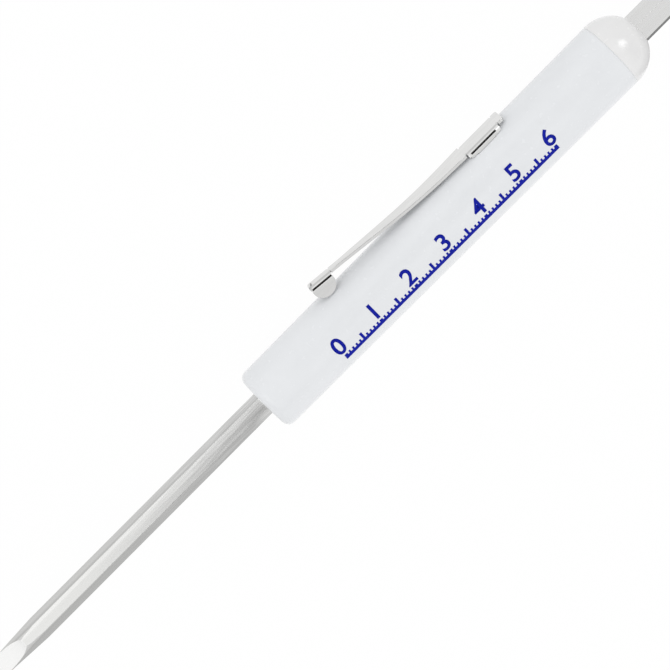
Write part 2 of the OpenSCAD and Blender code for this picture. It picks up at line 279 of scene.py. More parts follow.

# %% [markdown]
# Grey cards near the floor shade the lower facets of the steel and the folds of the clip: painted shade
# of the floor beside the tool, seen only in reflections.
# Two more stand high on the side away from the clip, one for the blade's lower ridge and
# one for the side walls of the clip. Two large flags beyond the ends of the tool give the
# steel its contrast when it is seen from other sides.

# %% Cards at the sides and ends
SHADE_RISE = 0.05
RIDGE_LEAN = math.radians(60)
RIDGE_DISTANCE = 0.5
FLAG_DISTANCE = 2
FLAG_TALL = 1.4
FLAG_WIDE = 4
FLAG_OUT = 0.8
FLAG_UP = 0.6
FLAG_BRIGHT = 0.4

# These three grey cards are painted floor shade beside the tool, which only reflections see.
for name, x_from, x_to, y_from, y_to, brightness in (
        ("blade_shade", -0.1, 0.076, -0.004, -0.2, 0.75),
        ("bit_shade", 0.187, 0.3, -0.004, -0.2, 0.25),
        ("fold_shade", 0.1, 0.175, 0.022, 0.2, 0.75)):
    slope = Vector((0, y_to - y_from, SHADE_RISE))
    low_edge = Vector(((x_from + x_to) / 2, y_from, cad_box[0].z + MM))
    card(name, low_edge + slope / 2, along * (x_to - x_from), slope, brightness)
ridge_side = math.cos(RIDGE_LEAN) * towards_camera - math.sin(RIDGE_LEAN) * across
ridge_across = math.sin(RIDGE_LEAN) * towards_camera + math.cos(RIDGE_LEAN) * across
row_of_cards(ridge_side * RIDGE_DISTANCE, ridge_across, (
    ("ridge_card", 0.03, 0.08, 0.2, 0.05),
    ("wall_card", 0.14, 0.14, 0.4, 0.87)))
for name, end in (("tip_flag", -1), ("cap_flag", 1)):
    flag_side = Vector((FLAG_OUT * end, 0, FLAG_UP))
    flag_tall = Vector((-FLAG_UP * end, 0, FLAG_OUT))
    card(name, aim + flag_side * FLAG_DISTANCE, flag_tall * FLAG_TALL,
         Vector((0, FLAG_WIDE, 0)), FLAG_BRIGHT)
print("seven cards at the sides and ends")

# %% [markdown]
# ## A few helpers
# Operators work on whatever is selected, and loading leaves the CAD nodes selected. So
# each step starts by choosing one object, or by choosing vertices, edges or faces by a rule.
# Applying an object's place, turn and scale puts all three into its mesh, where the
# CAD nodes have theirs as well.

# %% Choose, settle and edit


def choose(piece):
    """Leaves this object alone selected and active."""
    bpy.ops.object.select_all(action="DESELECT")
    piece.select_set(True)
    bpy.context.view_layer.objects.active = piece


def settle(piece):
    """Puts the object's place, turn and scale into its mesh."""
    choose(piece)
    bpy.ops.object.transform_apply(location=True, rotation=True, scale=True)


def edit(piece):
    """Opens an object's mesh for editing."""
    choose(piece)
    bpy.ops.object.mode_set(mode="EDIT")


def done():
    """Closes the open mesh."""
    bpy.ops.object.mode_set(mode="OBJECT")


def pick(piece, kind, rule):
    """Selects the vertices, edges or faces of the open mesh that a rule says yes to."""
    bpy.ops.mesh.select_mode(type=kind)
    bpy.ops.mesh.select_all(action="DESELECT")
    mesh = bmesh.from_edit_mesh(piece.data)
    everything = {"VERT": mesh.verts, "EDGE": mesh.edges, "FACE": mesh.faces}[kind]
    for element in [element for element in everything if rule(element)]:
        element.select_set(True)
    mesh.select_flush_mode()
    bmesh.update_edit_mesh(piece.data)


def extrude(move):
    """Extrudes what is selected in the open mesh and moves the new part."""
    bpy.ops.mesh.extrude_region_move(TRANSFORM_OT_translate={"value": move})


print("editing helpers ready")

# %% [markdown]
# A Boolean modifier carves one piece with another. It can leave points that all but touch, so
# these are merged before shading. Smooth shading by angle suits rounded corners, and the
# Weighted Normal modifier keeps the flat faces between them flat in their reflections.

# %% Carve and soften
WELD = 0.002 * MM
SMOOTH_BELOW = math.radians(25)


def carve(piece, tool, how):
    """Cuts a piece with a tool body, which is used up."""
    choose(piece)
    cut = piece.modifiers.new("cut", "BOOLEAN")
    cut.object = tool
    cut.operation = how
    cut.solver = "EXACT"
    bpy.ops.object.modifier_apply(modifier="cut")
    bpy.data.objects.remove(tool)


def clean_open_mesh(distance):
    """Merges points of the open mesh that all but touch, and drops faces without area."""
    bpy.ops.mesh.select_all(action="SELECT")
    bpy.ops.mesh.remove_doubles(threshold=distance)
    bpy.ops.mesh.dissolve_degenerate(threshold=distance)


def keep_flats(piece):
    """Keeps the flat faces of the chosen piece flat in their reflections."""
    flats = piece.modifiers.new("flats", "WEIGHTED_NORMAL")
    flats.keep_sharp = True
    bpy.ops.object.modifier_apply(modifier="flats")


def soften(piece):
    """Cleans up after carving, then shades rounded edges smoothly and keeps flat faces flat."""
    edit(piece)
    clean_open_mesh(WELD)
    done()
    bpy.ops.object.shade_smooth_by_angle(angle=SMOOTH_BELOW)
    keep_flats(piece)


print("carving helpers ready")

# %% [markdown]
# ## Hexagonal steel
# Blade and bit are drawn hexagonal bar, whose long corners are never quite sharp. A cylinder
# with six sides is the bar, and a bevel on its six long edges gives the rounded corners
# that catch the light. The ends are turned on a lathe: a round body is built by extruding and
# scaling one face from station to station, and where it overlaps the bar, metal stays.

# %% Bar and lathe
OVERRUN = 1 * MM
BAR_CORNER_ROUND = 0.11 * MM
FACING = 0.99


def hexagonal_bar(name, across_flats, x_from, x_to, corner_turn):
    """Bar along X with one corner at a turn from +Y towards +Z."""
    bpy.ops.object.select_all(action="DESELECT")
    bpy.ops.mesh.primitive_cylinder_add(
        vertices=6, radius=across_flats / math.sqrt(3), depth=x_to - x_from,
        rotation=(0, math.pi / 2, 0))
    bar = bpy.context.active_object
    bar.name = name
    settle(bar)
    bar.rotation_euler.x = corner_turn
    bar.location.x = (x_from + x_to) / 2
    settle(bar)
    edit(bar)
    pick(bar, "EDGE", lambda e: abs(e.verts[0].co.x - e.verts[1].co.x) > OVERRUN)
    bpy.ops.mesh.bevel(offset=BAR_CORNER_ROUND, segments=4, profile=0.5, affect="EDGES")
    done()
    return bar


def turned_body(stations, sides=128):
    """Round body along X through stations of (x, radius)."""
    (x_first, r_first), (x_last, r_last) = stations[:2]
    bpy.ops.object.select_all(action="DESELECT")
    bpy.ops.mesh.primitive_cone_add(
        vertices=sides, radius1=r_first, radius2=r_last, depth=x_last - x_first,
        location=((x_first + x_last) / 2, 0, 0), rotation=(0, math.pi / 2, 0))
    body = bpy.context.active_object
    settle(body)
    edit(body)
    for x, r in stations[2:]:
        pick(body, "FACE", lambda f: f.normal.x > FACING)
        extrude((x - x_last, 0, 0))
        bpy.ops.transform.resize(value=(1, r / r_last, r / r_last), center_override=(x, 0, 0))
        x_last, r_last = x, r
    done()
    return body


print("bar and lathe ready")

# %% [markdown]
# ## The cross point
# The hidden end of the blade and the free end of the bit have a cross point. Its cone is
# turned with the rest of the end. Then a square bar, held corner first and
# tilted, cuts one of the four grooves, and three turned copies cut the others.

# %% Grooves of a cross point
WEB_SHARE = 0.18
GROOVE_SHARE = 0.98
NOSE_SHARE = 0.38
CONE_SHARE = 0.75


def cut_cross_point(piece, nose_x, wide, length):
    """Cuts four grooves that deepen towards a nose which points along +X."""
    corner = wide * WEB_SHARE / math.sqrt(2)
    run = length * GROOVE_SHARE
    tilt = math.atan((wide / 2 - corner) / run)
    for quarter in range(4):
        turn = math.radians(45 + 90 * quarter)
        outward = Vector((0, math.cos(turn), math.sin(turn)))
        root = math.cos(tilt) * along - math.sin(tilt) * outward
        lift = math.cos(tilt) * outward + math.sin(tilt) * along
        on_root = Vector((nose_x, 0, 0)) + outward * corner
        bpy.ops.object.select_all(action="DESELECT")
        bpy.ops.mesh.primitive_cylinder_add(
            vertices=4, radius=wide * math.sqrt(2), depth=2 * (run + OVERRUN))
        tool = bpy.context.active_object
        tool_turned = Matrix((lift, root.cross(lift), root)).transposed().to_4x4()
        tool.matrix_world = Matrix.Translation(on_root + lift * wide * math.sqrt(2)) @ tool_turned
        settle(tool)
        carve(piece, tool, "DIFFERENCE")


def point_stations(wide, length, nose_x, bar_r):
    """Stations of a turned point, from a bar of this radius to the nose."""
    return [(nose_x - length - bar_r + wide / 2, bar_r),
            (nose_x - length, wide / 2),
            (nose_x - length * CONE_SHARE, wide / 2),
            (nose_x, wide / 2 * NOSE_SHARE)]


print("cross point ready")

# %% [markdown]
# ## Blade
# The blade is 122 mm of bar. Its outer end narrows in a slow taper, and its inner end is
# turned for a cross point. Where bar and turned body overlap, metal stays.

# %% Bar of the blade
BLADE_AF = 4.76 * MM
BLADE_LEN = 122 * MM
BLADE_CORNER_TURN = math.radians(30)
TIP_W = 4.3 * MM
TIP_STRAIGHT = 4 * MM
TIP_TAPER = 11.7 * MM
BLADE_POINT_D = 4.4 * MM
BLADE_POINT_LEN = 8 * MM

blade = hexagonal_bar("blade_bar", BLADE_AF, 0, BLADE_LEN + OVERRUN, BLADE_CORNER_TURN)
blade_r = BLADE_AF / math.sqrt(3)
taper_r = 2 * blade_r - TIP_W / 2
carve(blade, turned_body(
    [(-OVERRUN, TIP_W / 2), (TIP_STRAIGHT, TIP_W / 2), (TIP_STRAIGHT + 2 * TIP_TAPER, taper_r)]
    + point_stations(BLADE_POINT_D, BLADE_POINT_LEN, BLADE_LEN, taper_r)), "INTERSECT")
print("blade bar:", len(blade.data.polygons), "faces")

# %% [markdown]
# A grinding wheel has hollowed both broad faces down to a slotted tip 0.9 mm thick. The
# wheel is a real wheel here: a large cylinder takes the metal off, so the ground face ends in
# the same round-shouldered outline as on the real tip. A block flattens the last millimetre.

# %% Ground tip and grooves of the blade
TIP_T = 0.9 * MM
TIP_TURN = math.radians(60)
GRIND_LEN = 10.9 * MM
GRIND_FLAT = 1 * MM
WHEEL_SIDES = 512
WHEEL_WIDTH = 3 * BLADE_AF

grind_depth = (BLADE_AF - TIP_T) / 2
grind_run = GRIND_LEN - GRIND_FLAT
wheel_r = (grind_run ** 2 + grind_depth ** 2) / (2 * grind_depth)
for side in (0, math.pi):
    face = Vector((0, math.cos(TIP_TURN + side), math.sin(TIP_TURN + side)))
    bpy.ops.object.select_all(action="DESELECT")
    bpy.ops.mesh.primitive_cylinder_add(
        vertices=WHEEL_SIDES, radius=wheel_r, depth=WHEEL_WIDTH,
        location=along * GRIND_FLAT + face * (TIP_T / 2 + wheel_r), rotation=(TIP_TURN, 0, 0))
    wheel = bpy.context.active_object
    settle(wheel)
    carve(blade, wheel, "DIFFERENCE")
    bpy.ops.object.select_all(action="DESELECT")
    bpy.ops.mesh.primitive_cube_add(
        size=1, location=along * (GRIND_FLAT - OVERRUN) / 2 + face * (TIP_T + BLADE_AF) / 2,
        rotation=(TIP_TURN + side - math.pi / 2, 0, 0),
        scale=(GRIND_FLAT + OVERRUN, WHEEL_WIDTH, BLADE_AF))
    block = bpy.context.active_object
    settle(block)
    carve(blade, block, "DIFFERENCE")
cut_cross_point(blade, BLADE_LEN, BLADE_POINT_D, BLADE_POINT_LEN)
soften(blade)
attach(blade, "blade")
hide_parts("blade")
print("blade:", len(blade.data.polygons), "faces, wheel radius", round(wheel_r / MM, 1), "mm")

# %% [markdown]
# ## Top bit
# The bit in the cap is an insert bit of the usual 6.35 mm. It is made as the blade is: bar,
# turned ends and four grooves. Its foot has a bevel so that it slips into its socket.

# %% Top bit
BIT_AF = 6.35 * MM
BIT_LEN = 25 * MM
BIT_HEX_LEN = 16.4 * MM
BIT_POINT_D = 6 * MM
BIT_BEVEL = 0.5 * MM
BIT_CORNER_TURN = math.radians(-6)

bit_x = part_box("top_bit")[0].x
bit_nose = bit_x + BIT_LEN
bit_r = BIT_AF / math.sqrt(3)
bit = hexagonal_bar("bit_bar", BIT_AF, bit_x - OVERRUN, bit_nose + OVERRUN, BIT_CORNER_TURN)
foot_r = BIT_AF / 2 - BIT_BEVEL
wide_r = bit_r + OVERRUN
bit_point_len = BIT_LEN - BIT_HEX_LEN - bit_r + BIT_POINT_D / 2
carve(bit, turned_body(
    [(bit_x, foot_r), (bit_x + wide_r - foot_r, wide_r)]
    + point_stations(BIT_POINT_D, bit_point_len, bit_nose, wide_r)), "INTERSECT")
cut_cross_point(bit, bit_nose, BIT_POINT_D, BIT_LEN - BIT_HEX_LEN)
soften(bit)
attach(bit, "bit")
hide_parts("top_bit")
print("bit:", len(bit.data.polygons), "faces, from x =", round(bit_x / MM, 1), "mm")

# %% [markdown]
# ## Clip: side view
# The clip is one stamped strip. Seen from the side it starts flat on the barrel, bends up in
# a long bow and runs out straight to its tip. Its sizes come first, and with them the
# stations of that side view, from the root to the tip.

# %% Side view of the clip
CLIP_T = 0.7 * MM
FOLD_R = 1.2 * MM
SLIT = 0.3 * MM
TAB_END_X = 155.5 * MM
WING_END_X = 154 * MM
WING_X = 144.7 * MM
TANG_X = 146.85 * MM
TANG_LEN = 5 * MM
BEND_X = 140 * MM
TIP_X = 103.2 * MM
ROOT_Y = 8.7107 * MM
ARM_TILT = math.radians(6.2)
BOW_SHARE = 0.44
BOW_STEPS = 12
EAR_R = 2.8 * MM
NECK_LEN = 3 * MM
WING_BAND = 1.4 * MM

wing_from = WING_X + SLIT
wing_to = WING_END_X - SLIT
bow = (BEND_X - TIP_X) * BOW_SHARE
bow_r = bow / math.sin(ARM_TILT)
arm_along = Vector((math.cos(ARM_TILT), -math.sin(ARM_TILT), 0))
arm_out = Vector((math.sin(ARM_TILT), math.cos(ARM_TILT), 0))
bow_end = Vector((BEND_X - bow, ROOT_Y + bow_r * (1 - math.cos(ARM_TILT)), 0))
arm_straight = (BEND_X - TIP_X - bow) / math.cos(ARM_TILT)
tip = bow_end - arm_along * arm_straight
ear_end = tip + arm_along * 2 * EAR_R
neck_end = ear_end + arm_along * NECK_LEN

path = [Vector((x, ROOT_Y, 0)) for x in (
    wing_to, wing_to - WING_BAND, TANG_X + TANG_LEN, TANG_X, wing_from + WING_BAND, wing_from,
    WING_X, BEND_X)]
for step in range(1, BOW_STEPS + 1):
    bent = ARM_TILT * step / BOW_STEPS
    path.append(Vector((BEND_X - bow_r * math.sin(bent), ROOT_Y + bow_r * (1 - math.cos(bent)), 0)))
path += [neck_end, ear_end, ear_end - arm_along * SLIT, tip]
print("clip path:", len(path), "stations, tip at y =", round(tip.y / MM, 2), "mm")

# %% [markdown]
# ## Clip: the strip
# The clip's outer skin is drawn first, with no thickness: a small plane at the root, whose
# end edge is extruded from station to station. It is only as wide as the flat middle
# between the folds.

# %% Middle strip of the clip
WING_HALF = 2.85 * MM
EAR_HALF = 1.65 * MM
NEAR = 0.02 * MM

wing_flat = WING_HALF - FOLD_R
ear_flat = EAR_HALF - FOLD_R


def spine_half(x):
    """Half the width of the middle strip, which the folds start from."""
    share = min(1, max(0, (x - ear_end.x) / (WING_X - ear_end.x)))
    return ear_flat + (wing_flat - ear_flat) * share


bpy.ops.object.select_all(action="DESELECT")
bpy.ops.mesh.primitive_plane_add(
    size=1, location=((TAB_END_X + WING_END_X) / 2, ROOT_Y, 0), rotation=(-math.pi / 2, 0, 0))
clip = bpy.context.active_object
clip.name = "clip_strip"
clip.scale = (TAB_END_X - WING_END_X, 2 * wing_flat, 1)
settle(clip)
edit(clip)
here = Vector((WING_END_X, ROOT_Y, 0))
for there in path:
    pick(clip, "EDGE", lambda e: all(abs(v.co.x - here.x) < NEAR for v in e.verts))
    extrude(there - here)
    narrowing = spine_half(there.x) / spine_half(here.x)
    bpy.ops.transform.resize(value=(1, 1, narrowing), center_override=there)
    here = there
done()
print("middle strip:", len(clip.data.polygons), "faces")

# %% [markdown]
# Narrow strips along both sides then widen the arm and the tab. They stop a hair short of
# the places where the wings and ears fold down, as a stamped strip has its relief slits
# there. A bevel on two vertices rounds the corners of the tab.

# %% Full width of the arm and the tab
ROOT_HALF = 2.5 * MM
TAB_HALF = 2.1 * MM
NECK_HALF = 0.85 * MM
TAB_CORNER = 0.67 * MM


def arm_half(x):
    """Half the full width of the arm."""
    share = max(0, (x - neck_end.x) / (WING_X - neck_end.x))
    return NECK_HALF + (ROOT_HALF - NECK_HALF) * share


def side_edge(e, x_from, x_to):
    """Says whether an edge is on the strip's long sides, between two places."""
    runs = abs(e.verts[0].co.x - e.verts[1].co.x) > NEAR
    return runs and e.is_boundary and all(x_from - NEAR < v.co.x < x_to + NEAR for v in e.verts)


edit(clip)
for x_from, x_to, half_at in (
        (ear_end.x, WING_X, arm_half),
        (WING_END_X, TAB_END_X, lambda x: TAB_HALF)):
    pick(clip, "EDGE", lambda e: side_edge(e, x_from, x_to))
    extrude((0, 0, 0))
    mesh = bmesh.from_edit_mesh(clip.data)
    for vertex in mesh.verts:
        if vertex.select:
            vertex.co.z = math.copysign(half_at(vertex.co.x), vertex.co.z)
    bmesh.update_edit_mesh(clip.data)
pick(clip, "VERT", lambda v: v.co.x > TAB_END_X - NEAR and abs(v.co.z) > TAB_HALF - NEAR)
bpy.ops.mesh.bevel(offset=TAB_CORNER, segments=6, affect="VERTICES")
done()
print("clip strip:", len(clip.data.polygons), "faces")

# %% [markdown]
# ## Clip: folds
# Sheet metal is folded round a radius. The spin operator does just that to an edge: it
# sweeps the edge round an axis and leaves a curved skin behind.

# %% A fold
FOLD_STEPS = 10


def fold_down(side, x_from, x_to, flat, axis_point, axis):
    """Folds one long side of the strip down by a quarter turn and leaves its new edge selected."""
    pick(clip, "EDGE", lambda e: side_edge(e, x_from, x_to)
         and all(abs(v.co.z - side * flat) < NEAR for v in e.verts))
    bpy.ops.mesh.spin(steps=FOLD_STEPS, angle=-side * math.pi / 2, center=axis_point, axis=axis)


print("fold helper ready")

# %% [markdown]
# The wings fold down at the root and stand on the barrel. A tang goes on from each wing
# into the barrel's wall. It is extruded in three steps, and scaling makes its barb.

# %% A wing with its tang
WING_LOW = 7.126 * MM
WING_FOOT = CLIP_T / 4
TANG_TOP = 5.1 * MM
TANG_HOOK = 0.7 * MM
TANG_STEP = TANG_HOOK / 4
TANG_BARB = 0.35 * MM


def fold_wing(side):
    """Folds one wing down on to the barrel and adds its tang."""
    axis_point = Vector((0, ROOT_Y - FOLD_R, side * wing_flat))
    fold_down(side, wing_from, wing_to, wing_flat, axis_point, along)
    for low in (WING_LOW + WING_FOOT, WING_LOW):
        mesh = bmesh.from_edit_mesh(clip.data)
        here_y = min(v.co.y for v in mesh.verts if v.select)
        extrude((0, low - here_y, 0))
    pick(clip, "EDGE", lambda e: all(
        abs(v.co.y - WING_LOW) < NEAR and v.co.z * side > 0
        and TANG_X - NEAR < v.co.x < TANG_X + TANG_LEN + NEAR for v in e.verts))
    extrude((0, TANG_TOP + TANG_STEP - WING_LOW, 0))
    extrude((0, -TANG_STEP, 0))
    barbed = 1 + 2 * TANG_BARB / TANG_LEN
    tang_middle = (TANG_X + TANG_LEN / 2, TANG_TOP, 0)
    bpy.ops.transform.resize(value=(barbed, 1, 1), center_override=tang_middle)
    extrude((0, -TANG_HOOK, 0))
    bpy.ops.transform.resize(value=(1 / barbed, 1, 1), center_override=tang_middle)


print("wings reach down to", round(WING_LOW / MM, 2), "mm from the tool's axis")

# %% [markdown]
# The ears fold down at the tip. A bevel of about half their width on their two lower
# corners makes them half-round.

# %% An ear
EAR_LOW = 7.456 * MM

ear_depth = EAR_R + (tip.y - EAR_LOW - EAR_R - EAR_R * math.sin(ARM_TILT)) / math.cos(ARM_TILT)
ear_round = EAR_R - SLIT / 2


def fold_ear(side):
    """Folds one ear down and rounds its lower corners."""
    axis_point = tip - arm_out * FOLD_R + Vector((0, 0, side * ear_flat))
    fold_down(side, tip.x, (ear_end - arm_along * SLIT).x, ear_flat, axis_point, arm_along)
    extrude(-arm_out * (ear_depth - FOLD_R))
    lowest = (tip - arm_out * ear_depth).dot(arm_out)
    pick(clip, "VERT", lambda v: v.co.x < ear_end.x and v.co.z * side > 0
         and v.co.dot(arm_out) < lowest + NEAR)
    bpy.ops.mesh.bevel(offset=ear_round, segments=14, affect="VERTICES")


print("ears", round(ear_depth / MM, 2), "mm deep")

# %% [markdown]
# With these two helpers both sides are folded. Points that touch are then merged, and all
# faces are turned the same way, outwards.

# %% Fold both sides
MERGE = NEAR / 4

edit(clip)
for side in (-1, 1):
    fold_wing(side)
    fold_ear(side)
bpy.ops.mesh.select_all(action="SELECT")
bpy.ops.mesh.remove_doubles(threshold=MERGE)
bpy.ops.mesh.normals_make_consistent(inside=False)
done()
if max(clip.data.polygons, key=lambda f: f.area).normal.y < 0:
    clip.data.flip_normals()
print("clip skin:", len(clip.data.polygons), "faces")

# %% [markdown]
# The lower corners of the wings and the noses of the ears are round as well. Their end
# vertices lie in rows, so each one is moved in by as much as a circle has curved away at
# its height.

# %% Rounded wings and noses
WING_CORNER = 0.79 * MM

for vertex in clip.data.vertices:
    x, y, z = vertex.co
    if WING_X < x < WING_END_X and abs(z) > wing_flat + NEAR and y > WING_LOW - NEAR:
        rise = max(0, WING_CORNER - (y - WING_LOW))
        inset = WING_CORNER - math.sqrt(max(0, WING_CORNER ** 2 - rise ** 2))
        if x < wing_from + NEAR:
            vertex.co.x = x + inset
        elif x > wing_to - NEAR:
            vertex.co.x = x - inset
noses = 0
for vertex in clip.data.vertices:
    from_tip = vertex.co - tip
    if from_tip.dot(arm_along) < NEAR:
        aside = abs(vertex.co.z) - ear_flat
        folded = math.atan2(max(0, aside), FOLD_R + from_tip.dot(arm_out))
        above_middle = ear_depth - ear_round - FOLD_R + FOLD_R * (math.pi / 2 - folded)
        if above_middle > 0:
            vertex.co += arm_along * (ear_round - math.sqrt(ear_round ** 2 - above_middle ** 2))
            noses += 1
print("vertices moved on the noses:", noses)

# %% [markdown]
# ## Clip: thickness and soft edges
# Solidify gives the skin the 0.7 mm of the sheet, inwards, so that the outer
# face stays where it is. The feet of the wings are then lifted on to the round barrel,
# whose radius at any place follows from its taper.

# %% Sheet of the clip
BARREL_FOOT_X = 80 * MM
BARREL_FOOT_R = 7.25 * MM
BARREL_TOP_R = 7.8 * MM
BARREL_LEN = 100.5 * MM
FOOT_EDGE_R = 1.8 * MM
CLIP_GAP = 0.08 * MM


def barrel_radius(x):
    """Outer radius of the tapered barrel at a place along the tool."""
    share = (x - BARREL_FOOT_X - FOOT_EDGE_R) / (BARREL_LEN - FOOT_EDGE_R)
    return BARREL_FOOT_R + (BARREL_TOP_R - BARREL_FOOT_R) * share


choose(clip)
sheet = clip.modifiers.new("sheet", "SOLIDIFY")
sheet.thickness = CLIP_T
sheet.offset = -1
sheet.use_even_offset = True
sheet.use_quality_normals = True
bpy.ops.object.modifier_apply(modifier="sheet")
for vertex in clip.data.vertices:
    x, y, z = vertex.co
    if WING_X < x < WING_END_X and WING_LOW - CLIP_T / 2 < y < ROOT_Y - CLIP_T - NEAR:
        rest_y = math.sqrt((barrel_radius(x) + CLIP_GAP) ** 2 - z ** 2)
        vertex.co.y = max(y, rest_y)
edit(clip)
bpy.ops.mesh.select_all(action="SELECT")
bpy.ops.mesh.remove_doubles(threshold=MERGE)
done()
print("clip sheet:", len(clip.data.polygons), "faces")

# %% [markdown]
# A small bevel rounds the stamped edges, which is what makes them glint.

# %% Edges of the clip
SHEET_EDGE_ROUND = 0.07 * MM
STAMPED_EDGE = math.radians(50)

rounding = clip.modifiers.new("rounding", "BEVEL")
rounding.width = SHEET_EDGE_ROUND
rounding.segments = 3
rounding.limit_method = "ANGLE"
rounding.angle_limit = STAMPED_EDGE
rounding.use_clamp_overlap = False
bpy.ops.object.modifier_apply(modifier="rounding")
bpy.ops.object.shade_smooth()
keep_flats(clip)
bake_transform(clip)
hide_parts("clip_base", "clip_arm")
print("clip:", len(clip.data.polygons), "faces")

# %% [markdown]
# ## Printed scale
# The barrel carries a plain 60 mm scale in blue ink. It is laid out flat first, in the XY
# plane. A tick is a small plane that an Array modifier repeats, and an array of an array
# leaves out every fifth tick for a longer one. The ticks stand on the long line and do not
# touch each other.

# %% Line and ticks of the scale
RULE_X = 99 * MM
RULE_LEN = 60 * MM
RULE_LINE = 0.9 * MM
TENTH = RULE_LEN / 60
FIFTH = 5 * TENTH
WHOLE = 10 * TENTH


def printed_bar(x, y, wide, tall):
    """Flat bar of ink whose lower left corner is at x, y."""
    bpy.ops.object.select_all(action="DESELECT")
    bpy.ops.mesh.primitive_plane_add(size=1, location=(x + wide / 2, y + tall / 2, 0))
    bar = bpy.context.active_object
    bar.scale = (wide, tall, 1)
    settle(bar)
    return bar


prints = [printed_bar(RULE_X - RULE_LINE / 2, 0, RULE_LEN + RULE_LINE, RULE_LINE)]
for first, tall, wide, rows in (
        (TENTH, 0.6 * MM, 0.45 * MM, ((4, TENTH), (12, FIFTH))),
        (FIFTH, 1.7 * MM, 0.6 * MM, ((6, WHOLE),)),
        (0, 0.5 * MM, 0.8 * MM, ((7, WHOLE),))):
    ticks = printed_bar(RULE_X + first - wide / 2, RULE_LINE, wide, tall)
    for count, spacing in rows:
        row = ticks.modifiers.new("row", "ARRAY")
        row.use_relative_offset = False
        row.use_constant_offset = True
        row.constant_offset_displace = (spacing, 0, 0)
        row.count = count
        bpy.ops.object.modifier_apply(modifier="row")
    prints.append(ticks)
print("ticks:", sum(len(layer.data.polygons) for layer in prints[1:]))

# %% [markdown]
# The numbers are text that is made a mesh. A small offset makes them bolder, and the mesh is
# cleaned up because text leaves points that all but touch.

# %% Numbers of the scale
NUMBERS = 7
NUMBER_SIZE = 5.4 * MM
NUMBER_BOLD = 0.02 * NUMBER_SIZE
NUMBER_LIFT = 2 * MM
INK_WELD = 0.009 * MM

for number in range(NUMBERS):
    bpy.ops.object.select_all(action="DESELECT")
    bpy.ops.object.text_add(location=(RULE_X + number * WHOLE, NUMBER_LIFT, 0))
    figure = bpy.context.active_object
    figure.data.body = str(number)
    figure.data.size = NUMBER_SIZE
    figure.data.offset = NUMBER_BOLD
    figure.data.align_x = "CENTER"
    bpy.ops.object.convert(target="MESH")
    settle(figure)
    edit(figure)
    clean_open_mesh(INK_WELD)
    bpy.ops.mesh.normals_make_consistent(inside=False)
    done()
    prints.append(figure)
print("flat scale:", len(prints), "pieces of print")

# %% [markdown]
# The layout becomes one mesh. Bisecting it into strips, as narrow as the barrel's roundness
# needs, lets it bend, and then each vertex is wrapped round the tapered barrel, with the
# middle of the scale a quarter turn round from the clip. A hair of thickness makes the ink
# a closed skin that sits in the surface.

# %% Wrap the scale
STRIP = 0.25 * MM
PRINT_TURN = math.radians(90)
INK_SKIN = 0.04 * MM

choose(prints[0])
for layer in prints[1:]:
    layer.select_set(True)
bpy.ops.object.join()
scale_print = bpy.context.active_object
scale_print.name = "scale_print"
print_tall = max(v.co.y for v in scale_print.data.vertices)
edit(scale_print)
for cut in range(1, int(print_tall / STRIP) + 1):
    bpy.ops.mesh.select_all(action="SELECT")
    bpy.ops.mesh.bisect(plane_co=(0, cut * STRIP, 0), plane_no=(0, 1, 0))
done()
for vertex in scale_print.data.vertices:
    x, y, z = vertex.co
    r = barrel_radius(x)
    turn = PRINT_TURN - (y - print_tall / 2) / r
    vertex.co = (x, r * math.cos(turn), r * math.sin(turn))
choose(scale_print)
skin = scale_print.modifiers.new("skin", "SOLIDIFY")
skin.thickness = INK_SKIN
skin.offset = 0
bpy.ops.object.modifier_apply(modifier="skin")
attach(scale_print, "handle")
print("scale print:", len(scale_print.data.polygons), "faces,", round(print_tall / MM, 1), "mm tall")

# %% [markdown]
# ## Finishes
# Every finish starts from Blender's Principled shader. Object coordinates feed a noise
# texture, stretched along the tool where the metal was drawn or brushed, and the noise
# moves the colour, the roughness and often a very shallow bump a little. All scales are in
# the real size of the piece, in features per metre.

# %% Tools for finishes
NOISE_LOW = 0.3
NOISE_HIGH = 0.7


def new_finish(name, metallic):
    """New material with its shader and the piece's own coordinates."""
    material = bpy.data.materials.new(name)
    material.use_nodes = True
    tree = material.node_tree
    shader = tree.nodes["Principled BSDF"]
    shader.inputs["Metallic"].default_value = metallic
    return material, tree, shader, tree.nodes.new("ShaderNodeTexCoord").outputs["Object"]


def grain(tree, coordinates, per_metre, detail=3):
    """Noise with its own number of features per metre along X, Y and Z."""
    sizing = tree.nodes.new("ShaderNodeMapping")
    sizing.inputs["Scale"].default_value = per_metre
    tree.links.new(coordinates, sizing.inputs["Vector"])
    noise = tree.nodes.new("ShaderNodeTexNoise")
    noise.inputs["Scale"].default_value = 1
    noise.inputs["Detail"].default_value = detail
    tree.links.new(sizing.outputs[0], noise.inputs["Vector"])
    return noise.outputs["Fac"]


def between(tree, value, low, high, socket):
    """Feeds a socket with a number that follows the noise from low to high."""
    spread = tree.nodes.new("ShaderNodeMapRange")
    spread.inputs["From Min"].default_value = NOISE_LOW
    spread.inputs["From Max"].default_value = NOISE_HIGH
    spread.inputs["To Min"].default_value = low
    spread.inputs["To Max"].default_value = high
    tree.links.new(value, spread.inputs["Value"])
    tree.links.new(spread.outputs[0], socket)


def tinted(tree, value, dark, light, socket):
    """Feeds a colour socket with a blend of two colours that follows the noise."""
    ramp = tree.nodes.new("ShaderNodeValToRGB")
    ramp.color_ramp.elements[0].position = NOISE_LOW
    ramp.color_ramp.elements[0].color = (*dark, 1)
    ramp.color_ramp.elements[1].position = NOISE_HIGH
    ramp.color_ramp.elements[1].color = (*light, 1)
    tree.links.new(value, ramp.inputs["Fac"])
    tree.links.new(ramp.outputs["Color"], socket)


